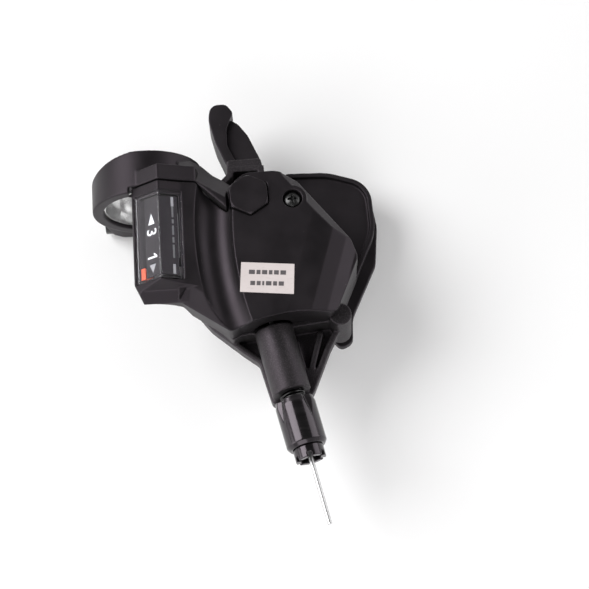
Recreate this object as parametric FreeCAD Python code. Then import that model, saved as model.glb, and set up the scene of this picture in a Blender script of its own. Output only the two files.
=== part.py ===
import FreeCAD, Part
import os
from math import acos, atan2, cos, degrees, hypot, pi, radians, sin, sqrt, tan

# Left-hand trigger shifter for a bicycle handlebar, in millimetres.
# The origin is the centre of the handlebar clamp. +Y runs along the bar towards the grip,
# +Z is out of the top cover, and +X is from the bar to the mechanism.

V = FreeCAD.Vector
UP = V(0, 0, 1)
ALONG_BAR = V(0, 1, 0)

# ---- driving dimensions ----

BAR_R = 11.1                    # a 22.2 mm handlebar
POD_CLEAR_R = 12.4              # underside of the pod, around the bar
RING_R = 14.6                   # outside of the clamp ring
RING_NEAR_Y = -4.5
RING_FAR_Y = 7.1

AXLE = (38.0, -20.5)            # main axle: thumb lever and cable drum
RELEASE = (27.0, -7.6)          # release lever's axle, under the hexagonal cap
SCREW = (38.2, -9.2)            # cover screw
POST = (48.6, -39.0)            # corner post of the base

FLOOR_Z = -6.5                  # underside of the base
FLOOR_T = 1.5
SPLIT_Z = 6.0                   # where the cover meets the base
TOP_Z = 15.0                    # flat top of the cover
WALL = 1.6
RUN = 0.05                      # radial running clearance
GAP = 0.3                       # clearance between parts that pass each other

CABLE_ANGLE = 12.3              # degrees between the cable and -Y
CABLE_R = 0.6
CABLE_Z = 5.3
GROOVE_R = 11.0                 # cable centre line on the drum
CABLE_DIR = V(sin(radians(CABLE_ANGLE)), -cos(radians(CABLE_ANGLE)), 0)
STEM_R = 5.0
STEM_START = 19.0               # along the cable from the drum's tangent point
STEM_END = 36.6
BARREL_START = 38.6
BARREL_END = 51.6
FERRULE_END = 54.8

AXLE_R = 3.0
RELEASE_AXLE_R = 1.7
GEAR_MODULE = 1.0
GEAR_TEETH = 28
GEAR_R = GEAR_MODULE * GEAR_TEETH / 2
GEAR_Z = (-3.2, -1.6)
DRUM_Z = (3.6, 7.0)
RATCHET_Z = (7.7, 9.1)
RATCHET_R = 7.2
RATCHET_TEETH = 12
PAWL_GAP = 0.2                  # a pawl's tip stands this far off the ratchet's teeth
PADDLE_Z = (-10.4, -7.5)        # upper layer of the thumb lever
PADDLE_BASE_Z = (-14.5, -10.8)  # its lower layer, with a joint line between them
LEVER_PLATE_Z = (-11.2, -9.2)   # steel plate of the thumb lever
WEB_Z = (-1.2, 1.6)             # release lever's web

# The pod's roof, as (x, z): left edge, ridge, end of the lens, and ridge beside the valley
ROOF = [(-3.3, 12.9), (3.9, 18.4), (9.6, 16.2), (13.4, 15.2)]
POD_NEAR_Y = -35.0
POD_FAR_Y = -3.1
POD_CORNER_X = -0.6             # the pod's left edge comes in to here at its near end
LENS_Y = (-30.0, -5.8)
LENS_T = 1.15


# ---- shape helpers ----

def at(x, y, z=0.0):
    return V(x, y, z)


def disc(centre, radius, z0, z1):
    """A round bar along Z."""
    return Part.makeCylinder(radius, z1 - z0, at(centre[0], centre[1], z0), UP)


def tube(centre, outer, inner, z0, z1):
    return disc(centre, outer, z0, z1).cut(disc(centre, inner, z0 - 1, z1 + 1))


def corner_arc(before, point, after, radius):
    """Start, middle and end of the arc that rounds one corner of an outline."""
    to_before = (before - point).normalize()
    to_after = (after - point).normalize()
    half = acos(max(-1.0, min(1.0, to_before.dot(to_after)))) / 2
    reach = radius / tan(half)
    bisector = (to_before + to_after).normalize()
    centre = point + bisector * (radius / sin(half))
    return point + to_before * reach, centre - bisector * radius, point + to_after * reach


def outline(points, place=at):
    """A closed wire. A point is (x, y), or (x, y, radius) for a rounded corner."""
    corners = [place(p[0], p[1]) for p in points]
    count = len(points)
    edges = []
    ends = []
    for i, p in enumerate(points):
        if len(p) == 3:
            start, middle, end = corner_arc(corners[i - 1], corners[i], corners[(i + 1) % count], p[2])
            edges.append(Part.Arc(start, middle, end).toShape())
            ends.append((start, end))
        else:
            ends.append((corners[i], corners[i]))
    for i in range(count):
        leave, arrive = ends[i][1], ends[(i + 1) % count][0]
        if (arrive - leave).Length > 1e-6:
            edges.append(Part.makeLine(leave, arrive))
    return Part.Wire(Part.__sortEdges__(edges))


def prism(points, z0, z1, inset=0.0):
    """An outline in plan, pulled up from z0 to z1. A positive inset shrinks the outline."""
    wire = outline(points)
    if inset:
        wire = wire.makeOffset2D(-inset)
    face = Part.Face(wire)
    face.translate(V(0, 0, z0))
    return face.extrude(V(0, 0, z1 - z0))


def section(points, y0, y1):
    """An outline in the X-Z plane, pulled along Y from y0 to y1."""
    face = Part.Face(outline(points, lambda x, z: V(x, y0, z)))
    return face.extrude(V(0, y1 - y0, 0))


def along_bar(radius, y0, y1):
    return Part.makeCylinder(radius, y1 - y0, V(0, y0, 0), ALONG_BAR)


def on_cable(distance, side=0.0, z=CABLE_Z):
    """A point on the cable's line, measured from where it leaves the drum."""
    left = V(-cos(radians(CABLE_ANGLE)), -sin(radians(CABLE_ANGLE)), 0)
    start = at(*AXLE) + left * GROOVE_R
    return start + CABLE_DIR * distance + left * side + V(0, 0, z)


def along_cable(radius, start, end):
    return Part.makeCylinder(radius, end - start, on_cable(start), CABLE_DIR)


def polar(centre, radius, angle):
    return (centre[0] + radius * cos(radians(angle)), centre[1] + radius * sin(radians(angle)))


def sector(centre, radius, first, last, z0, z1):
    """A pie slice between two angles, in degrees."""
    start = at(*polar(centre, radius, first), z0)
    middle = at(*polar(centre, radius, (first + last) / 2), z0)
    end = at(*polar(centre, radius, last), z0)
    hub = at(centre[0], centre[1], z0)
    arc = Part.Arc(start, middle, end).toShape()
    wire = Part.Wire([Part.makeLine(hub, start), arc, Part.makeLine(end, hub)])
    return Part.Face(wire).extrude(V(0, 0, z1 - z0))


def bar_between(p, q, half_width, z0, z1):
    """A round-ended link between two points in plan."""
    dx, dy = q[0] - p[0], q[1] - p[1]
    length = hypot(dx, dy)
    side = (-dy / length * half_width, dx / length * half_width)
    points = [
        (p[0] + side[0], p[1] + side[1]),
        (q[0] + side[0], q[1] + side[1]),
        (q[0] - side[0], q[1] - side[1]),
        (p[0] - side[0], p[1] - side[1]),
    ]
    return fuse([prism(points, z0, z1), disc(p, half_width, z0, z1), disc(q, half_width, z0, z1)])


def above(p, q, profile, reach=60.0):
    """The space above a sloping top. The profile is (distance inwards from the line p-q, height)."""
    run = at(q[0] - p[0], q[1] - p[1]).normalize()
    inwards = V(-run.y, run.x, 0)
    points = [(-reach, profile[0][1])] + list(profile) + [(profile[-1][0], reach), (-reach, reach)]
    face = Part.Face(outline(points, lambda s, z: at(*p) + inwards * s + V(0, 0, z)))
    return face.extrude(run * hypot(q[0] - p[0], q[1] - p[1]))


def fuse(shapes):
    whole = shapes[0]
    for shape in shapes[1:]:
        whole = whole.fuse(shape)
    return whole.removeSplitter()


def cut(shape, tools):
    for tool in tools:
        shape = shape.cut(tool)
    return shape


def coil(centre, radius, wire_r, z0, z1, turns):
    """A round-wire coil around Z, from z0 to z1."""
    height = z1 - z0 - 2 * wire_r
    pitch = height / turns
    spine = Part.makeHelix(pitch, height, radius)
    tangent = V(0, 2 * pi * radius, pitch)
    profile = Part.Wire(Part.Circle(V(radius, 0, 0), tangent, wire_r).toShape())
    spring = Part.Wire(spine.Edges).makePipeShell([profile], True, True)
    spring.translate(at(centre[0], centre[1], z0 + wire_r))
    return spring


# ---- top cover, window and dial ----

COVER_PLAN = [
    (8.0, -3.1), (13.2, -3.1), (21.5, -11.4), (21.5, -5.0, 2.0), (26.2, -1.2, 5.0), (34.6, -1.0, 8.0),
    (39.8, -3.6, 2.0), (52.6, -20.4, 3.0), (54.2, -24.6, 3.0), (47.6, -40.0, 3.0), (36.7, -39.9, 30.0),
    (23.4, -42.4, 2.0), (20.6, -43.4, 1.0), (8.0, -34.5),
]
HEX_R = 5.6
VALLEY_R = 5.3                  # hollow between the pod and the plateau
VALLEY_SWEEP_R = 90.0


def roof_points(drop):
    """The pod's section, lowered by drop, down to the split line."""
    points = [(ROOF[0][0] + drop, SPLIT_Z)]
    points += [(x, z - drop * (1.2 if i < 3 else 1.0)) for i, (x, z) in enumerate(ROOF)]
    points[1] = (ROOF[0][0] + drop, ROOF[0][1] - 0.45 * drop)
    return points + [(18.5, ROOF[3][1] - drop), (18.5, SPLIT_Z)]


def cover_form(drop):
    """The cover's outside for drop 0, and the hollow inside it for a drop of one wall."""
    body = prism(COVER_PLAN, SPLIT_Z, TOP_Z - drop, drop)
    crown = [
        (0, 11.0 - drop), (3.0, 13.1 - drop), (7.0, 14.5 - drop), (13.0, TOP_Z + 0.02 - drop), (60, 40),
    ]
    slopes = [
        above((8.0, -34.5), (20.8, -43.6), [(0, 12.0 - drop), (4.4, TOP_Z + 0.1), (60, 60)]),
        above((47.2, -44.0), (59.9, -3.0), crown),
        above((54.5, -22.9), (37.5, -0.5), [(0, 12.4 - drop), (2.6, TOP_Z + 0.02), (2.7, 60)]),
    ]
    body = cut(body, slopes)
    pod = section(roof_points(drop), POD_NEAR_Y + drop, POD_FAR_Y - drop)
    near = [(drop, 12.6 - drop), (3.0, 14.5 - drop), (4.7, 18.5), (4.8, 60)]
    pod = pod.cut(above((-8, POD_NEAR_Y), (19, POD_NEAR_Y), near))
    pod = pod.cut(prism([(-9, -29.5), (-3.4 + drop, -29.5), (POD_CORNER_X + drop, -36), (-9, -36)], 0, 30))
    valley = Part.makeTorus(VALLEY_SWEEP_R, VALLEY_R + drop, V(17.7 + VALLEY_SWEEP_R, -17, 17.3), UP)
    form = cut(body.fuse(pod), [valley, along_bar(POD_CLEAR_R + 0.5 * drop, -60, 20)])
    return form


def top_cover():
    form = cover_form(0)
    hollow = cover_form(WALL)
    skirt = prism(COVER_PLAN[1:-1], SPLIT_Z - 1, SPLIT_Z + 0.1, WALL)
    shell = cut(form, [hollow, skirt])
    boss = disc(SCREW, 3.7, 10.5, TOP_Z).fuse(disc(SCREW, 2.0, SPLIT_Z + 0.1, TOP_Z))
    shell = fuse([shell, boss])
    opening = lens_form(1.0, -0.8).cut(along_bar(POD_CLEAR_R + 0.5, -60, 20))
    lens_seat = lens_form(0.0, 0.05).fuse(opening)
    hexagon = hex_prism(RELEASE, HEX_R + 0.15, 12.0, 20.0)
    hub_room = disc(RELEASE, 6.1, SPLIT_Z - 1, 12.9)
    arm_room = arm_form(GAP, SPLIT_Z - 1, 12.9)
    pod_corner = arm_form(GAP, 12.0, 40.0).common(Part.makeBox(4.5, 6.0, 40, V(13.0, -6.0, 0)))
    screw_room = disc(SCREW, 2.5, 13.4, 20).fuse(disc(SCREW, 1.25, 0, 20))
    stem_room = along_cable(STEM_R + 0.15, 12.0, STEM_END)
    post_room = disc(POST, POST_R + 0.1, 0, POST_TOP_Z + 0.1)
    rooms = [hexagon, hub_room, arm_room, pod_corner, screw_room, stem_room, post_room]
    return cut(shell, [lens_seat] + rooms)


def roof_strip(top, thickness, x0, x1, y0, y1):
    """A sheet that follows the pod's roof, from x0 to x1, its top face lowered by top."""
    points = [(ROOF[0][0] - 2, ROOF[0][1] - 1.53)] + ROOF[1:]
    upper = [(x, z - top) for x, z in points]
    lower = [(x, z - thickness) for x, z in reversed(upper)]
    strip = section(upper + lower, y0, y1)
    window = Part.makeBox(x1 - x0, y1 - y0, 60, V(x0, y0, -20))
    return strip.common(window)


def lens_form(down, grow):
    return roof_strip(down, LENS_T + (2.6 if down else 0), ROOF[0][0] + 0.7 - grow, ROOF[2][0] + grow,
                      LENS_Y[0] - grow, LENS_Y[1] + grow)


def window_lens():
    return lens_form(0.0, 0.0)


def dial_plate():
    """The black sheet under the lens that carries the numbers. It stops beside the pointer's slot."""
    return roof_strip(1.3, 0.5, 0.3, ROOF[2][0] - 1.25, LENS_Y[0] + 1.25, LENS_Y[1] - 1.25)


def hex_prism(centre, radius, z0, z1):
    points = [polar(centre, radius, 60 * i + 33) for i in range(6)]
    return prism(points, z0, z1)


def hex_cap():
    cap = hex_prism(RELEASE, HEX_R, 12.9, 15.9)
    cone = Part.makeCone(HEX_R + 2.4, HEX_R - 0.7, 3.1, at(*RELEASE, 12.9), UP)
    return cap.common(cone).cut(disc(RELEASE, RELEASE_AXLE_R + RUN, 12, 14.0))


def cross_slots(centre, length, width, z, depth):
    """The two slots of a cross recess, from z upward."""
    x, y = centre
    return [Part.makeBox(w, d, depth, at(x - w / 2, y - d / 2, z))
            for w, d in ((length, width), (width, length))]


def cover_screw():
    head = Part.makeSphere(3.4, at(*SCREW, 11.55)).common(disc(SCREW, 2.2, 13.45, 20))
    shank = disc(SCREW, 1.15, 3.0, 13.5)
    return cut(fuse([head, shank]), cross_slots(SCREW, 2.4, 0.6, 14.0, 2.0))


# ---- bracket and clamp ----

EAR_Z = (-19.0, -12.0)
EAR_Y = (-3.4, 5.8)
BOLT_Y = 1.2
BOLT_Z = -16.0
SLIT = 1.2                      # half of the gap in the clamp ring


def arm_form(grow, z0, z1):
    """The arm between the clamp ring and the release axle, in plan."""
    points = [
        (9.0, -2.9), (13.4, -2.9), (21.2, -10.7), (24.0, -12.2), (30.5, -9.0), (28.0, -2.8),
        (24.8, -1.9, 2.0), (20.9, -1.1, 2.0), (17.8, 0.8, 3.0), (14.6, 4.5, 6.0), (9.0, 7.1),
    ]
    return prism(points, z0, z1, -grow)


def arm():
    beam = arm_form(0, 7.5, TOP_Z)
    slope = above((24.6, -2.6), (9.0, 8.2), [(0, 8.6), (6.4, TOP_Z + 0.02), (6.5, 60)])
    step = disc(RELEASE, 9.0, 12.6, 40).common(Part.makeBox(30, 30, 40, V(21.2, -20, 5)))
    inside = Part.makeBox(20, 30, 2.4, V(21.0, -20, 7.0))
    hub = disc(RELEASE, 5.7, 9.4, 12.6)
    return cut(beam, [slope, step, inside]).common(Part.makeBox(60, 60, 60, V(0, -30, 0))).fuse(hub)


def clamp_bracket():
    ring = along_bar(RING_R, RING_NEAR_Y, RING_FAR_Y)
    under_pod = Part.makeBox(20, 3, 30, V(-4.0, POD_FAR_Y - 2.8, 5.0))
    back = prism([(-20, 1.2), (-9.6, 5.9, 26.0), (-3.0, RING_FAR_Y), (-3.0, 12), (-20, 12)], -30, 30)
    flange_points = [
        (-9.5, 9.5), (-3.9, 12.9), (3.9, 18.9), (9.6, 16.8), (13.6, 15.4), (14.5, 7.5), (9.5, 5),
    ]
    flange = section(flange_points, -2.9, 1.3)
    flange = flange.fuse(section([(-13.9, 2.0), (-8.9, 11.3), (-3.9, 12.9), (9.5, 5), (0, 0)], -2.9, 1.3))
    rear_ear = section([(-13.9, -4), (-10.6, EAR_Z[0] + 2.2, 1.5), (-8.2, EAR_Z[0], 1.5), (-SLIT, EAR_Z[0]),
                        (-SLIT, -10), (-9, -8)], *EAR_Y)
    front_ear = section([(SLIT, EAR_Z[0]), (6.0, EAR_Z[0], 1.5), (8.4, -12, 3), (9, -8), (SLIT, -10)],
                        *EAR_Y)
    whole = fuse([cut(ring, [back, under_pod]), flange, rear_ear, front_ear, arm()])
    bolt_hole = Part.makeCylinder(2.6, 40, V(-20, BOLT_Y, BOLT_Z), V(1, 0, 0))
    tools = [
        along_bar(BAR_R + 0.5, -10, 20),
        Part.makeBox(2 * SLIT, 40, 20, V(-SLIT, -20, -25)),
        bolt_hole,
        Part.makeCylinder(4.4, 10, V(-18.6, BOLT_Y, BOLT_Z), V(1, 0, 0)),
        hex_along_x(4.3, 5.4, 12),
        disc(RELEASE, RELEASE_AXLE_R + RUN, 0, 20),
    ]
    return cut(whole, tools)


def hex_along_x(radius, x0, x1):
    face = Part.Face(outline([polar((0, 0), radius, 60 * i + 30) for i in range(6)],
                             lambda y, z: V(x0, y + BOLT_Y, z + BOLT_Z)))
    return face.extrude(V(x1 - x0, 0, 0))


def clamp_liner():
    liner = along_bar(BAR_R + 0.5, RING_NEAR_Y + 1.0, 4.4).cut(along_bar(BAR_R, -10, 20))
    return liner.cut(Part.makeBox(2 * SLIT, 40, 20, V(-SLIT, -20, -25)))


def clamp_bolt():
    head = Part.makeCylinder(4.2, 4.0, V(-12.6, BOLT_Y, BOLT_Z), V(1, 0, 0))
    shank = Part.makeCylinder(2.5, 17.0, V(-8.8, BOLT_Y, BOLT_Z), V(1, 0, 0))
    return fuse([head, shank]).cut(hex_along_x(2.3, -13, -10.4))


def clamp_nut():
    return hex_along_x(4.2, 5.4, 8.6).cut(Part.makeCylinder(2.55, 20, V(0, BOLT_Y, BOLT_Z), V(1, 0, 0)))


# ---- base housing ----

BASE_PLAN = [
    (12.7, -35.6), (12.7, -5.3), (15.6, -5.3), (15.6, -2.0), (19.0, 0.2), (21.4, 2.6), (21.4, 4.6),
    (31.2, 4.6), (31.4, -0.6), (34.6, -1.0, 8.0), (39.8, -3.6, 2.0), (52.6, -20.4, 3.0),
    (54.0, -24.6, 3.0), (47.2, -40.0), (23.4, -42.6), (20.9, -43.6),
]
LOWER_PLAN = [
    (12.7, -31.0), (12.7, -5.3), (15.6, -5.3), (15.6, -2.0), (19.0, 0.2), (21.4, 2.6), (21.4, 4.6),
    (31.2, 4.6), (31.4, -0.6), (34.6, -1.0, 8.0), (39.8, -3.6, 2.0), (52.6, -20.4, 3.0),
    (54.0, -24.6, 3.0), (47.8, -38.4), (24.0, -39.6), (20.0, -38.8),
]
TAPER_TOP_Z = 2.6               # top of the ribs beside the cable stem
TAPER_FLOOR = (-1.4, 0.0)
TAPER_END = 37.6                # along the cable
POST_R = 2.9
POST_TOP_Z = 8.0
CASE_SCREWS = [(17.2, -33.4), (48.6, -39.0)]
CASE_SEAT_Z = [-3.4, -5.3]      # undersides of the bosses that the screws pull against


def taper_plan():
    """The tongue that carries the cable stem, narrowing towards the barrel."""
    left, right = on_cable(TAPER_END, STEM_R + 0.2), on_cable(TAPER_END, -STEM_R - 0.3)
    return [(13.4, -36.5), (15.5, -39.2, 3.0), (23.4, -46.2), (27.2, -49.2, 2.0), (28.4, -54.0, 8.0),
            (left.x, left.y, 1.4), (right.x, right.y, 2.4), (45.6, -46.4, 8.0), (49.4, -39.6, 2.0),
            (47.5, -34.0), (18.0, -34.0)]


def base_housing():
    room = prism(LOWER_PLAN, FLOOR_Z + FLOOR_T, SPLIT_Z + 1, WALL)
    room = room.fuse(prism(BASE_PLAN, TAPER_FLOOR[1], SPLIT_Z + 1, WALL))
    wall = prism(LOWER_PLAN, FLOOR_Z, SPLIT_Z).fuse(prism(BASE_PLAN, TAPER_FLOOR[0], SPLIT_Z)).cut(room)
    tongue = prism(taper_plan(), TAPER_FLOOR[0], TAPER_TOP_Z)
    pocket = prism(taper_plan(), TAPER_FLOOR[1], TAPER_TOP_Z + 1, 1.5)
    tongue = tongue.cut(pocket).cut(room)
    stem = along_cable(STEM_R, STEM_START, STEM_END)
    stem = stem.cut(prism(BASE_PLAN, -20, 20, WALL))
    stem = stem.cut(prism(LOWER_PLAN, -20, 20, WALL))
    low, high = on_cable(23, -STEM_R), on_cable(34.6, -STEM_R + 0.3)
    brace = bar_between((43.2, -42.2), (high.x, high.y), 0.8, TAPER_FLOOR[0], TAPER_TOP_Z)
    stem_rib = bar_between((low.x, low.y), (high.x, high.y), 0.8, TAPER_FLOOR[0], TAPER_TOP_Z)
    posts = [
        disc(POST, POST_R, FLOOR_Z, POST_TOP_Z),
        disc(SCREW, 2.0, FLOOR_Z, SPLIT_Z),
        disc(CASE_SCREWS[0], 2.6, CASE_SEAT_Z[0], SPLIT_Z - 1),
        disc(RELEASE, 3.4, FLOOR_Z, GEAR_Z[0] - GAP),
    ]
    lug = prism([(21.4, 2.4), (21.4, 7.0, 0.8), (30.4, 7.2, 0.8), (31.3, 3.0), (31.2, 0)], -4.0, 5.0)
    boss = disc(AXLE, 8.0, FLOOR_Z - 0.6, FLOOR_Z + FLOOR_T)
    whole = fuse([wall, tongue, stem, brace, stem_rib, lug, boss] + posts)
    lever_room = prism([(19.4, -0.6), (10.0, 30.0), (32.0, 30.0), (30.9, 7.3), (30.0, -1.0)],
                       WEB_Z[0] - GAP, WEB_Z[1] + GAP)
    blade_room = prism([(17.0, 4.75), (25.0, 4.75), (25.6, 12.0), (17.0, 12.0)],
                       BLADE_Z[0] - 1, BLADE_Z[1] + GAP)
    inside_lug = prism(LOWER_PLAN, FLOOR_Z + FLOOR_T, SPLIT_Z + 1, WALL)
    tools = [
        lever_room,
        blade_room,
        inside_lug.common(Part.makeBox(12, 8, 40, V(20, -2, -20))),
        disc(AXLE, LEVER_HUB_R + RUN, -20, 0),
        disc(RELEASE, RELEASE_AXLE_R + RUN, -20, 20),
        disc(SCREW, 1.2, -3.5, 20),
        along_cable(SHANK_R + RUN, STEM_END - 12, STEM_END + 2),
        along_cable(CABLE_R + 0.5, 0, STEM_END + 2),
        along_cable(SHANK_R + 1.2, STEM_END, STEM_END + 2),
    ]
    tools += [disc(p, 1.2, FLOOR_Z - 3, 3.0) for p in CASE_SCREWS]
    tools += [disc(p, 2.1, FLOOR_Z - 3, seat) for p, seat in zip(CASE_SCREWS, CASE_SEAT_Z)]
    return cut(whole, tools)


def case_screws():
    """Two screws, driven from below, that tie the base to the cover's posts."""
    screws = []
    for (x, y), seat in zip(CASE_SCREWS, CASE_SEAT_Z):
        head = disc((x, y), 2.0, seat - 1.2, seat)
        shank = disc((x, y), 1.1, seat, 2.6)
        screws.append(cut(fuse([head, shank]), cross_slots((x, y), 2.2, 0.5, seat - 1.3, 0.7)))
    return Part.makeCompound(screws)


# ---- thumb lever ----

LEVER_HUB_R = 5.4
DRIVE_PAWL_AT = polar(AXLE, 11.3, -34)
CARRIER_Z = (-4.7, -3.5)


def paddle_plan():
    return [(36.0, 7.6, 1.6), (48.0, 7.2, 16.0), (59.2, 3.4, 7.5), (59.8, -10.6, 14.0), (50.4, -31.4, 2.0),
            (45.6, -31.0, 2.0), (50.2, -14.0, 8.0), (44.4, -4.4, 6.0), (35.8, -2.6, 2.0)]


def paddle_base_plan():
    return [(36.4, 7.0, 1.6), (48.0, 6.6, 16.0), (58.8, 2.6, 7.5), (60.4, -8.0, 10.0), (59.3, -18.8, 6.0),
            (52.2, -33.4, 8.0), (51.9, -40.2, 2.4), (48.6, -41.8, 1.6), (45.4, -38.0, 2.0), (44.6, -31.0, 4.0),
            (50.2, -14.0, 8.0), (44.4, -4.4, 6.0), (36.2, -2.2, 2.0)]


def thumb_paddle():
    """The thumb's pad: a dished top with a raised rim."""
    body = prism(paddle_plan(), *PADDLE_Z)
    dish = prism(paddle_plan(), PADDLE_Z[1] - 1.0, PADDLE_Z[1] + 1, 1.3)
    return cut(body, [dish, lever_plate_form()])


def paddle_base():
    """The lower moulding, which is wider on the right and runs on to a rounded tip under the post."""
    body = prism(paddle_base_plan(), PADDLE_BASE_Z[0] + 1.2, PADDLE_BASE_Z[1])
    foot = prism(paddle_base_plan(), PADDLE_BASE_Z[0], PADDLE_BASE_Z[0] + 1.2, 0.8)
    return cut(fuse([body, foot]), [lever_plate_form()])


def lever_plate_form():
    z0, z1 = LEVER_PLATE_Z
    pad = [
        (30.6, -18.0), (38.4, 4.6, 2.0), (48.0, 4.4, 12.0), (56.4, 1.4, 6.0), (57.0, -9.6, 10.0),
        (48.8, -28.4, 2.0), (40.0, -27.8),
    ]
    return fuse([prism(pad, z0, z1), disc(AXLE, 7.6, z0, z1)])


def lever_plate():
    return lever_plate_form().cut(disc(AXLE, LEVER_HUB_R, -30, 0))


def lever_hub():
    """The sleeve that turns on the main axle and carries the drive pawl's arm through the floor."""
    return tube(AXLE, LEVER_HUB_R, BUSH_R, LEVER_PLATE_Z[0], CARRIER_Z[1])


def pawl_carrier():
    arm_shape = bar_between(AXLE, DRIVE_PAWL_AT, 2.2, *CARRIER_Z)
    whole = fuse([disc(AXLE, 7.4, *CARRIER_Z), arm_shape])
    return cut(whole, [disc(AXLE, LEVER_HUB_R, -30, 20), disc(DRIVE_PAWL_AT, 1.0, -30, 20)])


def drive_pawl_pin():
    collar = disc(DRIVE_PAWL_AT, 1.5, CARRIER_Z[1], RATCHET_Z[0] - GAP)
    return fuse([disc(DRIVE_PAWL_AT, 1.0, CARRIER_Z[0], RATCHET_Z[1] + 0.6), collar])


def pawl(pivot, tip, hub_r, bore_r):
    """A pointed finger from its pivot to a tip beside the ratchet's teeth."""
    dx, dy = tip[0] - pivot[0], tip[1] - pivot[1]
    length = hypot(dx, dy)
    side = (-dy / length, dx / length)
    points = [
        (pivot[0] + side[0] * hub_r * 0.9, pivot[1] + side[1] * hub_r * 0.9),
        (tip[0] + side[0] * 0.6, tip[1] + side[1] * 0.6),
        (tip[0] - side[0] * 0.6, tip[1] - side[1] * 0.6),
        (pivot[0] - side[0] * hub_r * 0.9, pivot[1] - side[1] * hub_r * 0.9),
    ]
    return fuse([prism(points, *RATCHET_Z), disc(pivot, hub_r, *RATCHET_Z)]).cut(disc(pivot, bore_r, -30, 30))


def drive_pawl():
    tip = polar(AXLE, RATCHET_R + PAWL_GAP + 0.6, -2)
    return pawl(DRIVE_PAWL_AT, tip, 1.9, 1.0 + RUN)


def lever_spring():
    return coil(AXLE, LEVER_HUB_R + 1.3, 0.45, LEVER_PLATE_Z[1] + 0.2, FLOOR_Z - 0.8, 0.9)


# ---- main axle ----

BUSH_R = 4.0


def main_axle():
    """A bolt from below: head, shank, and a reduced end held in the cover."""
    head = disc(AXLE, 5.2, LEVER_PLATE_Z[0] - 3.6, LEVER_PLATE_Z[0] - 1.0)
    shank = disc(AXLE, AXLE_R, LEVER_PLATE_Z[0] - 1.0, 12.9)
    slot = Part.makeBox(7.0, 1.2, 1.2, at(AXLE[0] - 3.5, AXLE[1] - 0.6, LEVER_PLATE_Z[0] - 3.7))
    return fuse([head, shank]).cut(slot)


def axle_bush():
    return tube(AXLE, BUSH_R - RUN, AXLE_R, LEVER_PLATE_Z[0] - 0.4, CARRIER_Z[1] + 0.2)


def axle_washer():
    return tube(AXLE, 6.8, AXLE_R, LEVER_PLATE_Z[0] - 1.0, LEVER_PLATE_Z[0] - 0.4)


def axle_clip():
    """A retaining clip above the drum spring."""
    ring = tube(AXLE, 4.6, AXLE_R, 12.2, 12.8)
    return ring.cut(Part.makeBox(2.4, 8, 4, at(AXLE[0] - 1.2, AXLE[1] - 8, 11)))


# ---- cable drum, ratchet and pointer ----

DRUM_R = 12.4
DRUM_SPAN = (162.5, 258.0)      # degrees of the drum that carry the groove
TEETH_SPAN = (173.0, 250.0)
DRUM_HUB_R = 5.0
HEAD_ANGLE = 186.0              # where the wire leaves the cable's head
HEAD_R = 2.0
HEAD_LENGTH = 3.6
PRESSURE_ANGLE = 20.0
BACKLASH = 0.16


def cable_drum():
    slice_ = sector(AXLE, DRUM_R, *DRUM_SPAN, *DRUM_Z)
    block = sector(AXLE, DRUM_R, DRUM_SPAN[0], 190, CABLE_Z - HEAD_R - 0.3, CABLE_Z + HEAD_R + 0.1)
    body = fuse([disc(AXLE, 7.2, *DRUM_Z), slice_, block, disc(AXLE, DRUM_HUB_R, GEAR_Z[0], RATCHET_Z[0])])
    groove = tube(AXLE, DRUM_R + 2, GROOVE_R - 0.7, CABLE_Z - 0.7, CABLE_Z + 0.7)
    groove = groove.common(sector(AXLE, 20, HEAD_ANGLE - 1, 270, -10, 20))
    return cut(body, [groove, head_form(0.05), disc(AXLE, AXLE_R + RUN, -20, 20)])


def head_form(grow):
    """The cast cylinder on the wire's end, lying along the groove."""
    x, y = polar(AXLE, GROOVE_R, HEAD_ANGLE)
    tangent = V(sin(radians(HEAD_ANGLE)), -cos(radians(HEAD_ANGLE)), 0)
    base = at(x, y, CABLE_Z) - tangent * grow
    return Part.makeCylinder(HEAD_R + grow, HEAD_LENGTH + 2 * grow, base, tangent)


def cable_head():
    x, y = polar(AXLE, GROOVE_R, HEAD_ANGLE)
    tangent = V(-sin(radians(HEAD_ANGLE)), cos(radians(HEAD_ANGLE)), 0)
    section_face = Part.Face(Part.Wire(Part.Circle(at(x, y, CABLE_Z), tangent, CABLE_R).toShape()))
    wrapped = section_face.revolve(at(AXLE[0], AXLE[1], 0), UP, 180 + CABLE_ANGLE - HEAD_ANGLE - 0.6)
    return fuse([head_form(0.0), wrapped])


def ratchet_wheel():
    points = []
    step = 360.0 / RATCHET_TEETH
    for i in range(RATCHET_TEETH):
        face = 23 + i * step
        points.append(polar(AXLE, RATCHET_R - 1.3, face))
        points.append(polar(AXLE, RATCHET_R, face + step - 0.8))
    return prism(points, *RATCHET_Z).cut(disc(AXLE, AXLE_R + RUN, -20, 20))


def involute_flank(base_r, radius):
    """Angle in radians that an involute has turned by the time it reaches a radius."""
    roll = sqrt((radius / base_r) ** 2 - 1)
    return roll - atan2(roll, 1)


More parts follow.
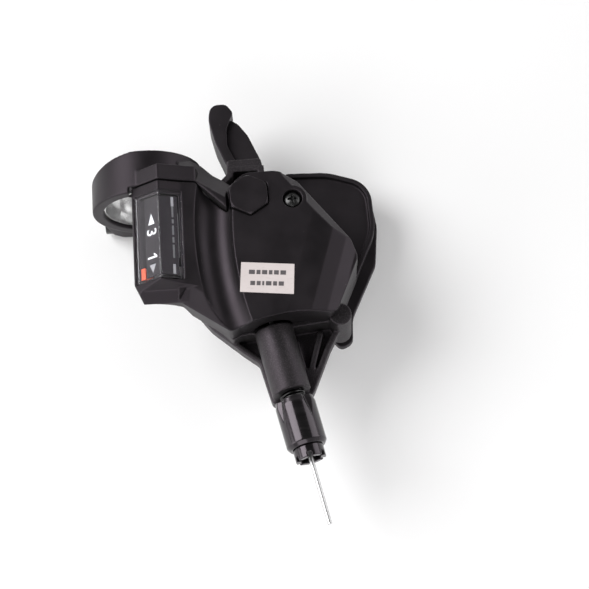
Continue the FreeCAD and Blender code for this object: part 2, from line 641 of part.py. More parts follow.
def drum_gear():
    """The toothed quadrant that drives the pointer's rack."""
    pitch_half = pi / 2 / GEAR_TEETH - BACKLASH / 4 / GEAR_R
    base_r = GEAR_R * cos(radians(PRESSURE_ANGLE))
    root_r, tip_r = GEAR_R - 1.25 * GEAR_MODULE, GEAR_R + GEAR_MODULE
    pitch = 360.0 / GEAR_TEETH
    blank = fuse([sector(AXLE, root_r, *TEETH_SPAN, *GEAR_Z), disc(AXLE, 7.5, *GEAR_Z)])
    teeth = []
    for i in range(-40, 41):
        # A space of the gear, not a tooth, faces the rack's tooth at 180 degrees
        centre = 180 + (i + 0.5) * pitch
        if not TEETH_SPAN[0] + 4 < centre < TEETH_SPAN[1] - 4:
            continue
        radii = [max(root_r - 0.1, base_r)] + [base_r + (tip_r - base_r) * k / 4 for k in range(1, 5)]
        half = [pitch_half + involute_flank(base_r, GEAR_R) - involute_flank(base_r, r) for r in radii]
        low = [polar(AXLE, root_r - 0.2, centre - degrees(half[0]))]
        low += [polar(AXLE, r, centre - degrees(h)) for r, h in zip(radii, half)]
        high = [polar(AXLE, r, centre + degrees(h)) for r, h in zip(reversed(radii), reversed(half))]
        high += [polar(AXLE, root_r - 0.2, centre + degrees(half[0]))]
        teeth.append(prism(low + high, *GEAR_Z))
    return fuse([blank] + teeth).cut(disc(AXLE, DRUM_HUB_R, -20, 20))


RACK_X = AXLE[0] - GEAR_R
RACK_Y = (-37.4, -17.6)
FLAG_Y = (-28.5, -26.0)


def pointer_rack():
    pitch = pi * GEAR_MODULE
    slope = tan(radians(PRESSURE_ANGLE))
    back = RACK_X - 3.0
    root = RACK_X - 1.25 * GEAR_MODULE
    tip = RACK_X + 0.9 * GEAR_MODULE
    bar = Part.makeBox(root - back, RACK_Y[1] - RACK_Y[0], GEAR_Z[1] - GEAR_Z[0],
                       V(back, RACK_Y[0], GEAR_Z[0]))
    teeth = []
    count = int((AXLE[1] - RACK_Y[0]) / pitch)
    for i in range(-count, 1):
        y = AXLE[1] + i * pitch
        half = pitch / 4 - BACKLASH / 4
        foot, crest = half + 1.25 * slope, half - 0.9 * slope
        teeth.append(prism([(root - 0.2, y - foot), (root, y - foot), (tip, y - crest), (tip, y + crest),
                            (root, y + foot), (root - 0.2, y + foot)], *GEAR_Z))
    return fuse([bar] + teeth + [pointer_arm(), slider_shoe()])


def slider_shoe():
    """A flat runner that keeps the rack against its guide."""
    return Part.makeBox(5.0, 2.8, 1.6, V(RACK_X - 7.6, FLAG_Y[0], GEAR_Z[0]))


def pointer_arm():
    """The strip that reaches from the rack, up beside the bar and over it, under the dial plate."""
    points = [(17.2, GEAR_Z[0]), (17.2, 9.2), (14.5, 10.5), (11.5, 12.7), (8.6, 14.2), (3.9, 16.1), (2.0, 14.7),
              (2.0, 13.6), (5.0, 13.2), (9.5, 11.2), (13.0, 8.8), (15.7, 7.0), (15.7, GEAR_Z[0])]
    return section(points, *FLAG_Y)


def pointer_flag():
    """The orange end of the pointer, seen through the lens."""
    points = [
        (2.0, 14.2), (0.1, 13.4), (0.0, 13.95), (-1.15, 13.09), (-1.15, 12.99), (0.1, 13.02), (2.0, 13.6),
    ]
    return section(points, FLAG_Y[0] - 0.3, FLAG_Y[1] + 0.3)


def drum_spring():
    return coil(AXLE, 4.6, 0.4, RATCHET_Z[1] + 0.3, 12.0, 1.5)


# ---- release lever ----

BLADE_Z = (-7.0, 3.4)
RATCHET_ZIP_ANGLE = 115


def web_plan():
    return [(23.6, -8.6), (22.0, 6.0), (20.4, 11.0), (19.6, 19.0), (22.4, 20.6), (25.0, 18.8, 2.0), (27.4, 15.4, 4.0),
            (30.3, 8.4, 1.0), (29.4, -1.0), (29.4, -6.0)]


def blade_plan():
    return [(21.6, 5.6, 0.8), (18.6, 13.2, 16.0), (17.1, 19.8, 6.0), (17.8, 24.0, 2.4), (22.0, 24.1, 2.0),
            (23.8, 21.6, 1.2), (21.8, 16.8, 6.0), (21.8, 12.0, 6.0), (24.2, 6.6, 0.8)]


def release_lever():
    web = fuse([prism(web_plan(), *WEB_Z), disc(RELEASE, 3.6, *WEB_Z)])
    return cut(web, [disc(RELEASE, RELEASE_AXLE_R, -20, 20), prism(blade_plan(), -20, 20)])


def release_pad():
    """The finger blade moulded on the web's edge, with rounded long edges."""
    return prism(blade_plan(), *BLADE_Z)


def release_axle():
    shaft = disc(RELEASE, RELEASE_AXLE_R, FLOOR_Z - 1.0, 13.8)
    return shaft.cut(tube(RELEASE, 3, RELEASE_AXLE_R - 0.35, FLOOR_Z - 0.8, FLOOR_Z - 0.3))


def release_clip():
    ring = tube(RELEASE, 3.0, RELEASE_AXLE_R - 0.35, FLOOR_Z - 0.75, FLOOR_Z - 0.35)
    return ring.cut(Part.makeBox(2.0, 5, 4, at(RELEASE[0] - 1.0, RELEASE[1] - 5, FLOOR_Z - 2)))


def hold_pawl():
    tip = polar(AXLE, RATCHET_R + PAWL_GAP + 0.6, RATCHET_ZIP_ANGLE)
    return pawl(RELEASE, tip, 3.2, RELEASE_AXLE_R)


def release_spring():
    return coil(RELEASE, RELEASE_AXLE_R + 1.0, 0.4, WEB_Z[1] + 0.5, RATCHET_Z[0] - 0.3, 3.5)


# ---- barrel adjuster and cable ----

SHANK_R = 2.4
BARREL_R = 5.2
FLUTES = 4
FLUTE_START = 64.0              # degrees, so that two flutes flank the top
FLUTE_LENGTH = 8.0


def cable_frame(shape):
    """Carries a shape drawn around Z, starting at the origin, onto the cable's line."""
    onto_cable = FreeCAD.Placement(on_cable(0), FreeCAD.Rotation(UP, CABLE_DIR))
    shape.Placement = onto_cable.multiply(shape.Placement)
    return shape


def flute_form():
    """A V-shaped cutter, wide and deep at the near end of the barrel, running out to a point."""
    z0 = BARREL_START - 0.1
    deep = V(BARREL_R - 1.3, 0, z0)
    low, high = V(BARREL_R + 0.8, -3.6, z0), V(BARREL_R + 0.8, 3.6, z0)
    point = V(BARREL_R + 0.25, 0, z0 + FLUTE_LENGTH)
    sides = [(deep, low, high), (deep, point, low), (deep, high, point), (low, point, high)]
    faces = [Part.Face(Part.makePolygon(list(side) + [side[0]])) for side in sides]
    return Part.Solid(Part.Shell(faces))


def barrel_adjuster():
    body = Part.makeCone(BARREL_R - 0.35, BARREL_R, 1.6, V(0, 0, BARREL_START), UP)
    straight = BARREL_END - BARREL_START - 2.6
    body = body.fuse(Part.makeCylinder(BARREL_R, straight, V(0, 0, BARREL_START + 1.6), UP))
    body = body.fuse(Part.makeCone(BARREL_R, BARREL_R - 0.7, 1.0, V(0, 0, BARREL_END - 1.0), UP))
    body = body.cut(Part.makeCylinder(SHANK_R + RUN, 30, V(0, 0, BARREL_START - 5), UP))
    for i in range(FLUTES):
        flute = flute_form()
        flute.rotate(V(0, 0, 0), UP, FLUTE_START + 360.0 * i / FLUTES)
        body = body.cut(flute)
    return cable_frame(body)


def cable_ferrule():
    """The threaded stop inside the barrel, with a slotted end that seats the cable's housing."""
    stem = Part.makeCylinder(SHANK_R, BARREL_END - STEM_END + 11, V(0, 0, STEM_END - 10), UP)
    end = Part.makeCylinder(3.9, FERRULE_END - BARREL_END - RUN, V(0, 0, BARREL_END + RUN), UP)
    body = stem.fuse(end)
    body = body.cut(Part.makeCylinder(2.6, 2.6, V(0, 0, FERRULE_END - 2.0), UP))
    body = body.cut(Part.makeCylinder(CABLE_R + 0.3, 60, V(0, 0, STEM_END - 20), UP))
    for i in range(3):
        slot = Part.makeBox(1.1, 12, 1.6, V(-0.55, -6, FERRULE_END - 1.2))
        slot.rotate(V(0, 0, 0), UP, 60 * i + 15)
        body = body.cut(slot)
    return cable_frame(body)


def adjuster_spring():
    """A short detent spring around the shank, in the neck between stem and barrel."""
    return cable_frame(coil((0, 0), SHANK_R + 0.55, 0.3, STEM_END + 0.15, BARREL_START - 0.15, 1.4))


CABLE_FREE_END = 72.0


def inner_cable():
    """The wire from the drum, through the stem and the barrel, to its free end."""
    return along_cable(CABLE_R, 0, CABLE_FREE_END)


# ---- label ----

def paper_label():
    """A blank paper sticker on the flat top of the cover."""
    corners = [(24.2, -26.0), (37.7, -27.4), (37.1, -35.5), (23.5, -34.0)]
    return prism(corners, TOP_Z, TOP_Z + 0.15)


NODES = [
    top_cover, window_lens, dial_plate, hex_cap, cover_screw, paper_label,
    clamp_bracket, clamp_liner, clamp_bolt, clamp_nut,
    base_housing, case_screws, main_axle, axle_bush, axle_washer, axle_clip,
    thumb_paddle, paddle_base, lever_plate, lever_hub, pawl_carrier, drive_pawl_pin, drive_pawl, lever_spring,
    cable_drum, cable_head, ratchet_wheel, drum_gear, drum_spring, pointer_rack, pointer_flag,
    release_lever, release_pad, release_axle, release_clip, hold_pawl, release_spring,
    barrel_adjuster, cable_ferrule, adjuster_spring, inner_cable,
]

os.makedirs("parts", exist_ok=True)
for build in NODES:
    build().exportStep("parts/" + build.__name__ + ".step")
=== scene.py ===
from math import cos, radians, sin

import bmesh
import bpy
from mathutils import Matrix, Vector


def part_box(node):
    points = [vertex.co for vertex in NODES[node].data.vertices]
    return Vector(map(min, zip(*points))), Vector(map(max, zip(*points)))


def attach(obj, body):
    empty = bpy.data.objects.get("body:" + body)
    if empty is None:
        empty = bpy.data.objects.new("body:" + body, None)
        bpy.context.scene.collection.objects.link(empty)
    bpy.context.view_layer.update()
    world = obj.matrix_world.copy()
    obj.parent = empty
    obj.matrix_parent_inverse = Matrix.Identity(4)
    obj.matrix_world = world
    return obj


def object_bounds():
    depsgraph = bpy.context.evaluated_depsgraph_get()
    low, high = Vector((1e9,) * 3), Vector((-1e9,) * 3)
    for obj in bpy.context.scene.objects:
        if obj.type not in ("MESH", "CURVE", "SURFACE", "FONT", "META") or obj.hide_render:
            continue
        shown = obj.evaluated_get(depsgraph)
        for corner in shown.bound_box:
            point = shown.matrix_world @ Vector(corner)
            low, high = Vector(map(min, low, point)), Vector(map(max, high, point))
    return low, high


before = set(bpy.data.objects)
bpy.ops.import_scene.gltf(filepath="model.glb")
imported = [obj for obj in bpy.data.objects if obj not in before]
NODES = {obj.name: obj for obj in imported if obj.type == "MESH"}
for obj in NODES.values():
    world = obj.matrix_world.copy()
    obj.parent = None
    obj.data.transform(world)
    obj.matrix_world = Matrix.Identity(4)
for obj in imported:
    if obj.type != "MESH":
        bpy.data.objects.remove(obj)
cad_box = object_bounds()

MM = 0.001
SCENE = bpy.context.scene

# ---- driving values ----

VIEW_ELEVATION = radians(69.5)      # the camera looks down at the cover from the rider's side
VIEW_ROLL = radians(3.5)
CAMERA_AT = Vector((37.24, -236.46, 552.16)) * MM
CAMERA_LENS = 138.6
FLOOR_GAP = 0.4 * MM

# Soft lights: place and diameter in metres, power in watts
LIGHTS = {
    "key": ((-0.40, 0.10, 0.46), 0.46, 3.2),
    "left": ((-0.55, -0.25, 0.16), 0.5, 1.5),
    "front": ((-0.05, -0.60, 0.30), 0.5, 1.5),
    "right": ((0.55, 0.10, 0.32), 0.5, 1.2),
}
# The tent's strength against the height of the view direction, 0 at the horizon and 1 overhead
TENT = {"From Min": 0.25, "From Max": 0.85, "To Min": 0.80, "To Max": 0.10}
FLOOR_SIZE = 3.0
LIT_POINT = (0.022, -0.03, 0.0)     # every light is aimed at the middle of the housing

PRINT_DEPTH = 0.03 * MM             # thickness of the printed marks
DIAL_X = 2.05 * MM                  # middle of the column of gear numbers
DIGIT_SIZE = 4.4 * MM
ARROW_HALF = 1.05 * MM
FAR_ARROW_TIP = 4.5 * MM            # in from the dial plate's far end
FAR_ARROW_LENGTH = 3.0 * MM
NEAR_ARROW_TIP = 0.9 * MM           # in from its near end
NEAR_ARROW_LENGTH = 2.3 * MM
END_BAR_WIDTH = 0.7 * MM
END_BAR_LENGTH = 2.6 * MM
END_BAR_INSET = 1.6 * MM
DASH_START = 4.6 * MM
DASH_GAP = 0.6 * MM
DASH_WIDTH = 0.5 * MM
LINE_WIDTH = 0.16 * MM
LINE_INSET = 9.5 * MM               # the line is this much shorter than the dial plate
END_BAR_X = 3.5 * MM                # along the dial's right slope, from its ridge
LINE_X = 4.9 * MM
DASH_LENGTHS = (3.6, 1.5, 2.6, 1.1, 3.0)
LABEL_ROWS = [(1.5, 1.0, 1.3, 0.9, 1.2, 1.4), (1.2, 1.0, 0.5, 1.4, 1.0, 1.3)]
LABEL_GAP = 0.42 * MM
LABEL_TURN = radians(-5)
LABEL_FIRST_ROW = 1.55 * MM         # up from the label's middle
LABEL_ROW_PITCH = 3.0 * MM
LABEL_DASH_HEIGHT = 1.15 * MM
THREE_Y = -16.7 * MM
ONE_Y = -23.6 * MM


# ---- small helpers for shader graphs ----

MIX_LOW, MIX_HIGH, MIX_COLOUR = 6, 7, 2     # the colour sockets of a mix node


class Graph:
    """A material's node tree, with short ways to add and join nodes."""

    def __init__(self, name):
        self.material = bpy.data.materials.new(name)
        self.material.use_nodes = True
        self.tree = self.material.node_tree
        self.shader = self.tree.nodes["Principled BSDF"]
        self.output = self.tree.nodes["Material Output"]
        self.place = self.add("ShaderNodeTexCoord").outputs["Object"]

    def add(self, kind, **values):
        node = self.tree.nodes.new(kind)
        for key, value in values.items():
            setattr(node, key, value)
        return node

    def join(self, source, node, socket):
        self.tree.links.new(source, node.inputs[socket])

    def set(self, **values):
        for key, value in values.items():
            self.shader.inputs[key.replace("_", " ")].default_value = value

    def stretched(self, scale, turn=0.0):
        mapping = self.add("ShaderNodeMapping")
        mapping.inputs["Scale"].default_value = scale
        mapping.inputs["Rotation"].default_value = (0, 0, turn)
        self.join(self.place, mapping, "Vector")
        return mapping.outputs["Vector"]

    def noise(self, scale, detail=3.0, vector=None):
        node = self.add("ShaderNodeTexNoise")
        node.inputs["Scale"].default_value = scale
        node.inputs["Detail"].default_value = detail
        self.join(vector or self.place, node, "Vector")
        return node.outputs["Fac"]

    def remap(self, value, low, high, out_low, out_high):
        node = self.add("ShaderNodeMapRange")
        ends = {"From Min": low, "From Max": high, "To Min": out_low, "To Max": out_high}
        for socket, number in ends.items():
            node.inputs[socket].default_value = number
        self.join(value, node, "Value")
        return node.outputs["Result"]

    def times(self, a, b):
        node = self.add("ShaderNodeMath", operation="MULTIPLY")
        self.join(a, node, 0)
        self.join(b, node, 1)
        return node.outputs[0]

    def mix(self, factor, low, high):
        """Blends from a colour or a socket to a colour."""
        node = self.add("ShaderNodeMix", data_type="RGBA")
        self.join(factor, node, 0)
        if isinstance(low, tuple):
            node.inputs[MIX_LOW].default_value = low + (1,)
        else:
            self.join(low, node, MIX_LOW)
        node.inputs[MIX_HIGH].default_value = high + (1,)
        return node.outputs[MIX_COLOUR]

    def bump(self, height, depth, strength=1.0, below=None):
        node = self.add("ShaderNodeBump")
        node.inputs["Distance"].default_value = depth
        node.inputs["Strength"].default_value = strength
        self.join(height, node, "Height")
        if below:
            self.join(below, node, "Normal")
        return node.outputs["Normal"]


SHEEN_TINT = (1.0, 0.84, 0.98, 1)      # black plastic mirrors the room faintly mauve


def grey(value, warm=0.0):
    return (value * (1 + warm), value, value * (1 + 0.5 * warm))


# ---- materials ----

def moulded(name, tone, rough, grain=0.012, grain_scale=3200.0, specks=0.4, edge=0.022, painted_glint=0.0):
    """Black moulded plastic: spark-eroded grain, cloudy sheen, edges painted paler for rubbed wear and a
    painted edge highlight, optional painted glints on the grain, and a little dust.
    """
    g = Graph(name)
    cloud = g.noise(120, 5)
    fine = g.noise(grain_scale, 2)
    colour = g.mix(g.remap(cloud, 0.35, 0.65, 0, 1), grey(tone * 0.8), grey(tone * 1.35, 0.06))
    # Painted glint: lighter flecks on the grain's peaks stand in for light glinting off the grain.
    colour = g.mix(g.remap(fine, 0.50, 0.66, 0, painted_glint), colour, grey(0.30, 0.08))
    # Paler convex edges: partly rubbed wear, partly a painted edge highlight where the edges catch the
    # light.
    wear_and_painted_highlight = g.add("ShaderNodeNewGeometry").outputs["Pointiness"]
    wear_and_painted_highlight = g.times(g.remap(wear_and_painted_highlight, 0.53, 0.60, 0, 0.8), g.remap(g.noise(700, 3), 0.3, 0.6, 0.3, 1))
    colour = g.mix(wear_and_painted_highlight, colour, grey(edge, 0.05))
    cells = g.add("ShaderNodeTexVoronoi")
    cells.inputs["Scale"].default_value = 230
    g.join(g.place, cells, "Vector")
    rare = g.remap(g.noise(90, 2), 0.52, 0.6, 0, specks)
    colour = g.mix(g.times(g.remap(cells.outputs["Distance"], 0.02, 0.04, 1, 0), rare), colour, grey(0.2))
    g.join(colour, g.shader, "Base Color")
    g.join(g.remap(cloud, 0.3, 0.7, rough - 0.05, rough + 0.06), g.shader, "Roughness")
    smear = g.bump(g.noise(160, 3), 0.05 * MM, 0.12)
    g.join(g.bump(fine, grain * MM, 0.9, smear), g.shader, "Normal")
    g.set(Specular_IOR_Level=0.34, Specular_Tint=SHEEN_TINT)
    return g.material


def glossy(name, tone, rough, coat=0.6, ripple=0.15):
    """Polished black plastic with faint moulding ripple and hairline scratches."""
    g = Graph(name)
    scratch = g.noise(90, 8, g.stretched((1, 14, 14), radians(12)))
    g.join(g.mix(g.remap(scratch, 0.4, 0.7, 0, 1), grey(tone), grey(tone * 2)), g.shader, "Base Color")
    g.join(g.remap(scratch, 0.35, 0.75, rough, rough + 0.12), g.shader, "Roughness")
    g.join(g.bump(g.noise(260, 2), 0.03 * MM, ripple), g.shader, "Normal")
    g.set(Coat_Weight=coat, Coat_Roughness=0.06, Specular_IOR_Level=0.4, Specular_Tint=SHEEN_TINT)
    return g.material


def metal(name, tone, rough, stretch=(1, 40, 40), turn=0.0, warm=0.0):
    """Steel with drawn or turned lines along one direction and slight tarnish."""
    g = Graph(name)
    lines = g.noise(220, 4, g.stretched(stretch, turn))
    tarnish = g.noise(150, 5)
    colour = g.mix(g.remap(tarnish, 0.35, 0.7, 0, 1), grey(tone, warm), grey(tone * 0.72, warm))
    g.join(colour, g.shader, "Base Color")
    g.join(g.remap(lines, 0.3, 0.7, rough - 0.07, rough + 0.1), g.shader, "Roughness")
    g.join(g.bump(lines, 0.01 * MM, 0.5), g.shader, "Normal")
    g.set(Metallic=1.0)
    return g.material


def stranded_wire(name, heading, pitch):
    """Bright steel wire whose strands wind round it."""
    g = Graph(name)
    waves = g.add("ShaderNodeTexWave", wave_type="BANDS", bands_direction="X")
    waves.inputs["Scale"].default_value = 1 / pitch / 3.2
    waves.inputs["Distortion"].default_value = 0.4
    slant = heading + radians(28)
    g.join(g.stretched((1, 1, 0.6), slant), waves, "Vector")
    g.join(g.mix(waves.outputs["Fac"], grey(0.50), grey(0.60)), g.shader, "Base Color")
    g.join(g.bump(waves.outputs["Fac"], 0.01 * MM, 0.4), g.shader, "Normal")
    g.join(g.remap(g.noise(500, 3), 0.3, 0.7, 0.30, 0.42), g.shader, "Roughness")
    g.set(Metallic=1.0)
    return g.material


def clear_lens(name):
    """Clear polycarbonate that lets light through to the dial, with faint scuffs."""
    g = Graph(name)
    scuff = g.noise(300, 8, g.stretched((1, 5, 1), radians(25)))
    g.join(g.remap(scuff, 0.55, 0.8, 0.0, 0.05), g.shader, "Roughness")
    g.join(g.mix(scuff, (0.95, 0.96, 0.98), (0.99, 0.99, 1.0)), g.shader, "Base Color")
    g.set(Transmission_Weight=1.0, IOR=1.4)
    see_through = g.add("ShaderNodeBsdfTransparent")
    see_through.inputs["Color"].default_value = (0.9, 0.92, 0.94, 1)
    either = g.add("ShaderNodeMixShader")
    g.join(g.add("ShaderNodeLightPath").outputs["Is Shadow Ray"], either, 0)
    g.join(g.shader.outputs[0], either, 1)
    g.join(see_through.outputs[0], either, 2)
    g.join(either.outputs[0], g.output, "Surface")
    return g.material


def printed(name, colour, rough=0.5):
    """Pad-printed ink, a little uneven."""
    g = Graph(name)
    blot = g.noise(1500, 3)
    thin_ink = tuple(c * 0.82 for c in colour)
    g.join(g.mix(g.remap(blot, 0.3, 0.7, 0, 1), colour, thin_ink), g.shader, "Base Color")
    g.join(g.remap(blot, 0.3, 0.7, rough - 0.1, rough + 0.1), g.shader, "Roughness")
    g.join(g.bump(blot, 0.006 * MM, 0.5), g.shader, "Normal")
    return g.material


def paper(name):
    g = Graph(name)
    fibre = g.noise(900, 6, g.stretched((1, 2.4, 1), radians(35)))
    cloud = g.noise(70, 3)
    colour = g.mix(g.remap(cloud, 0.3, 0.7, 0, 1), (0.66, 0.60, 0.59), (0.58, 0.52, 0.51))
    colour = g.mix(g.remap(fibre, 0.55, 0.75, 0, 0.35), colour, (0.48, 0.43, 0.42))
    g.join(colour, g.shader, "Base Color")
    g.join(g.bump(fibre, 0.02 * MM, 0.6), g.shader, "Normal")
    g.set(Roughness=0.8)
    return g.material


def floor_white(name):
    g = Graph(name)
    g.join(g.mix(g.noise(6, 2), (0.93, 0.93, 0.93), (0.95, 0.95, 0.95)), g.shader, "Base Color")
    g.set(Roughness=0.9, Specular_IOR_Level=0.1)
    return g.material


BLACK = moulded("moulded_black", 0.0065, 0.44)
COVER_BLACK = moulded("cover_black", 0.0055, 0.42, grain=0.010, specks=0.5)
STEM_BLACK = moulded("base_black", 0.012, 0.44, grain=0.05, grain_scale=3400, painted_glint=0.07)
LEVER_BLACK = moulded("lever_black", 0.0075, 0.47, grain=0.014, edge=0.03)
SHEET_BLACK = glossy("dial_sheet", 0.004, 0.34, coat=0.0, ripple=0.04)
GLOSS = glossy("gloss_black", 0.004, 0.14, coat=0.3)
STEEL = metal("bright_steel", 0.78, 0.26)
TURNED = metal("turned_steel", 0.58, 0.30, stretch=(30, 30, 1))
SPRING = metal("spring_steel", 0.42, 0.32, stretch=(6, 6, 6))
OXIDE = metal("black_oxide", 0.06, 0.30, stretch=(8, 8, 8))
NATURAL = moulded("natural_plastic", 0.52, 0.45, edge=0.6, specks=0.0)
ORANGE = printed("pointer_orange", (0.78, 0.10, 0.035), 0.4)
WHITE_INK = printed("white_ink", (0.82, 0.82, 0.82))
GREY_INK = printed("grey_ink", (0.34, 0.33, 0.34))
DIM_INK = printed("dim_ink", (0.13, 0.125, 0.13))
LABEL_INK = printed("label_ink", (0.10, 0.09, 0.095), 0.7)
LENS = clear_lens("clear_lens")
PAPER = paper("label_paper")

FINISHES = {
    COVER_BLACK: ["top_cover", "hex_cap"],
    BLACK: ["clamp_bracket"],
    STEM_BLACK: ["base_housing"],
    LEVER_BLACK: ["thumb_paddle", "paddle_base", "release_lever", "release_pad"],
    SHEET_BLACK: ["dial_plate"],
    GLOSS: ["barrel_adjuster", "cable_ferrule"],
    LENS: ["window_lens"],
    STEEL: ["clamp_liner", "lever_plate", "pawl_carrier", "drive_pawl", "hold_pawl", "axle_washer",
            "axle_clip", "release_clip"],
    TURNED: ["main_axle", "lever_hub", "drive_pawl_pin", "release_axle", "ratchet_wheel", "cable_head"],
    SPRING: ["lever_spring", "drum_spring", "release_spring"],
    # The adjuster spring takes this dark finish as painted shade, for the shade it sits in at the barrel's
    # neck.
    OXIDE: ["adjuster_spring", "cover_screw", "case_screws", "clamp_bolt", "clamp_nut"],
    NATURAL: ["cable_drum", "drum_gear", "pointer_rack", "axle_bush"],
    ORANGE: ["pointer_flag"],
    PAPER: ["paper_label"],
}


# ---- softened edges on the moulded parts ----

# Voxel size in millimetres: smaller keeps crisper edges
SOFT_EDGES = {
    "top_cover": 0.20, "base_housing": 0.24, "clamp_bracket": 0.24,
    "thumb_paddle": 0.20, "paddle_base": 0.24, "release_pad": 0.20, "release_lever": 0.20,
    "hex_cap": 0.12, "barrel_adjuster": 0.13, "cable_ferrule": 0.11, "cover_screw": 0.08,
}
EDGE_BEVEL = 0.12 * MM
CRISP = ["window_lens", "dial_plate", "clamp_liner", "clamp_bolt", "clamp_nut", "pointer_flag"]


def soften(node, voxel):
    """Rounds every edge of a moulding a little. A smaller voxel rounds less."""
    remesh = node.modifiers.new("remesh", "REMESH")
    remesh.mode = "VOXEL"
    remesh.voxel_size = voxel * MM
    remesh.use_smooth_shade = True
    smooth = node.modifiers.new("smooth", "SMOOTH")
    smooth.factor = 0.5
    smooth.iterations = 6


def crisp_edges(node, width):
    """Small bevels that catch the light on hard edges."""
    weld = node.modifiers.new("weld", "WELD")
    weld.merge_threshold = 0.002 * MM
    bevel = node.modifiers.new("bevel", "BEVEL")
    bevel.width = width
    bevel.segments = 2
    bevel.limit_method = "ANGLE"
    bevel.angle_limit = radians(35)
    bevel.harden_normals = True


def finish_nodes():
    for material, names in FINISHES.items():
        for name in names:
            mesh = NODES[name].data
            mesh.materials.clear()
            mesh.materials.append(material)
    for name, voxel in SOFT_EDGES.items():
        soften(NODES[name], voxel)
    for name in CRISP:
        crisp_edges(NODES[name], EDGE_BEVEL)


def wire_finish():
    """The wire's strands run along its own heading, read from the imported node."""
    low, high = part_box("inner_cable")
    heading = Vector((high[0] - low[0], low[1] - high[1]))
    wire = stranded_wire("stranded_wire", -heading.angle_signed(Vector((1, 0))), 1.1 * MM)
    NODES["inner_cable"].data.materials.clear()
    NODES["inner_cable"].data.materials.append(wire)


# ---- printed marks ----

class Facet:
    """A flat frame on the dial plate or the label: x and y along the surface, and its normal."""

    def __init__(self, origin, across, along):
        self.origin = Vector(origin)
        self.across = Vector(across).normalized()
        self.along = Vector(along).normalized()
        self.normal = self.across.cross(self.along)

    def point(self, x, y, height=0.0):
        return self.origin + self.across * x + self.along * y + self.normal * height


def mark(name, shapes, facet, material, body):
    """Closed prisms of ink, standing a hair above the surface and sunk a hair into it."""
    mesh = bmesh.new()
    for shape in shapes:
        foot = [mesh.verts.new(facet.point(x, y, -PRINT_DEPTH / 2)) for x, y in shape]
        top = [mesh.verts.new(facet.point(x, y, PRINT_DEPTH)) for x, y in shape]
        mesh.faces.new(reversed(foot))
        mesh.faces.new(top)
        for i in range(len(shape)):
            j = (i + 1) % len(shape)
            mesh.faces.new((foot[i], foot[j], top[j], top[i]))
    bmesh.ops.recalc_face_normals(mesh, faces=mesh.faces)
    data = bpy.data.meshes.new(name)
    mesh.to_mesh(data)
    mesh.free()
    data.materials.append(material)
    obj = bpy.data.objects.new(name, data)
    SCENE.collection.objects.link(obj)
    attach(obj, body)


def bar(x, y, width, height):
    return [(x - width / 2, y - height / 2), (x + width / 2, y - height / 2),
            (x + width / 2, y + height / 2), (x - width / 2, y + height / 2)]


def figure_one(x, y):
    """The outline of a 1 that reads from the rider's seat, with its top to the right."""
    corners = [
        (-1.55, -0.27), (1.55, -0.27), (1.55, 0.20), (0.75, 1.0), (0.30, 1.0), (0.80, 0.27), (-1.55, 0.27),
    ]
    return [(x + px * MM, y + py * MM) for px, py in corners]


def figure_three(facet, x, y):
    """A 3 from the plain built-in font, turned a quarter turn like the 1."""
    curve = bpy.data.curves.new("three", "FONT")
    curve.body = "3"
    curve.size = DIGIT_SIZE
    curve.extrude = PRINT_DEPTH
    curve.offset = 0.06 * MM
    source = bpy.data.objects.new("three", curve)
    SCENE.collection.objects.link(source)
    bpy.context.view_layer.update()
    data = bpy.data.meshes.new_from_object(source)
    bpy.data.objects.remove(source)
    places = [v.co for v in data.vertices]
    middle = [(min(p[i] for p in places) + max(p[i] for p in places)) / 2 for i in range(2)]
    data.transform(Matrix.Translation((-middle[0], -middle[1], 0)))
    axes = Matrix((-facet.along, facet.across, facet.normal)).transposed().to_4x4()
    data.transform(Matrix.Translation(facet.point(x, y)) @ axes)
    weld = bmesh.new()
    weld.from_mesh(data)
    bmesh.ops.remove_doubles(weld, verts=weld.verts, dist=0.001 * MM)
    weld.to_mesh(data)
    weld.free()
    data.materials.clear()
    data.materials.append(WHITE_INK)
    obj = bpy.data.objects.new("gear_number_3", data)
    SCENE.collection.objects.link(obj)
    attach(obj, "housing")


def dial_facets():
    """The dial plate's two slopes, read from its highest and outermost points."""
    corners = [v.co for v in NODES["dial_plate"].data.vertices]
    ridge = max(corners, key=lambda p: p.z)
    left = max((p for p in corners if p.x < ridge.x - 2 * MM), key=lambda p: p.z)
    right = max((p for p in corners if p.x > ridge.x + 2 * MM), key=lambda p: p.z)
    start = Vector((ridge.x, 0, ridge.z))
    along = Vector((0, 1, 0))
    slope_left = Vector((ridge.x - left.x, 0, ridge.z - left.z))
    slope_right = Vector((right.x - ridge.x, 0, right.z - ridge.z))
    return Facet(start, slope_left, along), Facet(start, slope_right, along)


def dial_marks():
    low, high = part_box("dial_plate")
    near, far = low[1], high[1]
    left, right = dial_facets()
    x = (DIAL_X - left.origin.x) / left.across.x
    figure_three(left, x, THREE_Y)
    mark("gear_number_1", [figure_one(x, ONE_Y)], left, WHITE_INK, "housing")
    far_arrow = arrow(x, far - FAR_ARROW_TIP, -FAR_ARROW_LENGTH)
    mark("dial_arrow_far", [far_arrow], left, WHITE_INK, "housing")
    near_arrow = arrow(x, near + NEAR_ARROW_TIP, NEAR_ARROW_LENGTH)
    mark("dial_arrow_near", [near_arrow], left, GREY_INK, "housing")
    ends = [bar(END_BAR_X, y, END_BAR_WIDTH, END_BAR_LENGTH)
            for y in (far - END_BAR_INSET, near + END_BAR_INSET)]
    mark("dial_end_bars", ends, right, GREY_INK, "housing")
    dashes = row_of_bars(END_BAR_X, near + DASH_START, DASH_LENGTHS, DASH_GAP, DASH_WIDTH)
    mark("dial_dashes", dashes, right, DIM_INK, "housing")
    line = bar(LINE_X, (near + far) / 2, LINE_WIDTH, far - near - LINE_INSET)
    mark("dial_line", [line], right, DIM_INK, "housing")


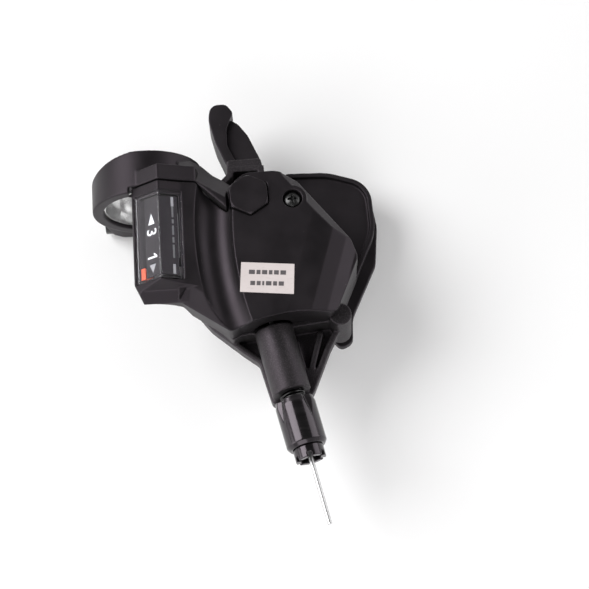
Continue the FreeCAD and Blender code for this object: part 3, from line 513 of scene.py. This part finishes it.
def arrow(x, tip, length):
    """A triangle with its point at tip and its base one length further along the dial."""
    return [(x - ARROW_HALF, tip + length), (x + ARROW_HALF, tip + length), (x, tip)]


def row_of_bars(x, start, lengths, gap, width):
    """Bars one after another along a strip. The lengths are in millimetres."""
    shapes = []
    for length in lengths:
        shapes.append(bar(x, start + length * MM / 2, width, length * MM))
        start += length * MM + gap
    return shapes


def label_marks():
    """Two rows of plain dashes stand for the sticker's small print."""
    low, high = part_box("paper_label")
    centre = ((low[0] + high[0]) / 2, (low[1] + high[1]) / 2)
    across = (cos(LABEL_TURN), sin(LABEL_TURN), 0)
    along = (-sin(LABEL_TURN), cos(LABEL_TURN), 0)
    facet = Facet((centre[0], centre[1], high[2]), across, along)
    for row, widths in enumerate(LABEL_ROWS):
        y = LABEL_FIRST_ROW - LABEL_ROW_PITCH * row
        x = -(sum(widths) * MM + LABEL_GAP * (len(widths) - 1)) / 2
        shapes = []
        for width in widths:
            shapes.append(bar(x + width * MM / 2, y, width * MM, LABEL_DASH_HEIGHT))
            x += width * MM + LABEL_GAP
        mark("label_dashes_%d" % (row + 1), shapes, facet, LABEL_INK, "housing")


# ---- camera, lights and floor ----

def camera():
    up = Vector((0, sin(VIEW_ELEVATION), cos(VIEW_ELEVATION)))
    right = Vector((1, 0, 0)) * cos(VIEW_ROLL) - up * sin(VIEW_ROLL)
    up = Vector((1, 0, 0)) * sin(VIEW_ROLL) + up * cos(VIEW_ROLL)
    back = right.cross(up)
    lens = bpy.data.cameras.new("camera")
    lens.lens = CAMERA_LENS
    lens.sensor_width = 36
    lens.clip_start = 0.02
    eye = bpy.data.objects.new("camera", lens)
    SCENE.collection.objects.link(eye)
    eye.matrix_world = Matrix.Translation(CAMERA_AT) @ Matrix((right, up, back)).transposed().to_4x4()
    SCENE.camera = eye


def area_light(name, at, size, power):
    light = bpy.data.lights.new(name, "AREA")
    light.shape = "DISK"
    light.size = size
    light.energy = power
    lamp = bpy.data.objects.new(name, light)
    SCENE.collection.objects.link(lamp)
    lamp.location = at
    lamp.rotation_euler = (Vector(LIT_POINT) - Vector(at)).to_track_quat("-Z", "Y").to_euler()


def surroundings():
    """A white tent: bright round the horizon and dimmer overhead, so level faces stay dark."""
    world = bpy.data.worlds.new("tent")
    SCENE.world = world
    world.use_nodes = True
    nodes, links = world.node_tree.nodes, world.node_tree.links
    height = nodes.new("ShaderNodeSeparateXYZ")
    ramp = nodes.new("ShaderNodeMapRange")
    for socket, number in TENT.items():
        ramp.inputs[socket].default_value = number
    links.new(nodes.new("ShaderNodeTexCoord").outputs["Generated"], height.inputs[0])
    links.new(height.outputs["Z"], ramp.inputs["Value"])
    links.new(ramp.outputs["Result"], nodes["Background"].inputs["Strength"])
    nodes["Background"].inputs["Color"].default_value = (1.0, 0.985, 0.99, 1)


def studio():
    SCENE.view_settings.view_transform = "Standard"
    floor_z = cad_box[0][2] - FLOOR_GAP
    bpy.ops.mesh.primitive_plane_add(size=FLOOR_SIZE, location=(0, 0, floor_z))
    floor = bpy.context.object
    floor.name = "floor"
    floor.data.materials.append(floor_white("floor_white"))
    for name, (place, size, power) in LIGHTS.items():
        area_light(name, place, size, power)
    surroundings()


finish_nodes()
wire_finish()
dial_marks()
label_marks()
camera()
studio()
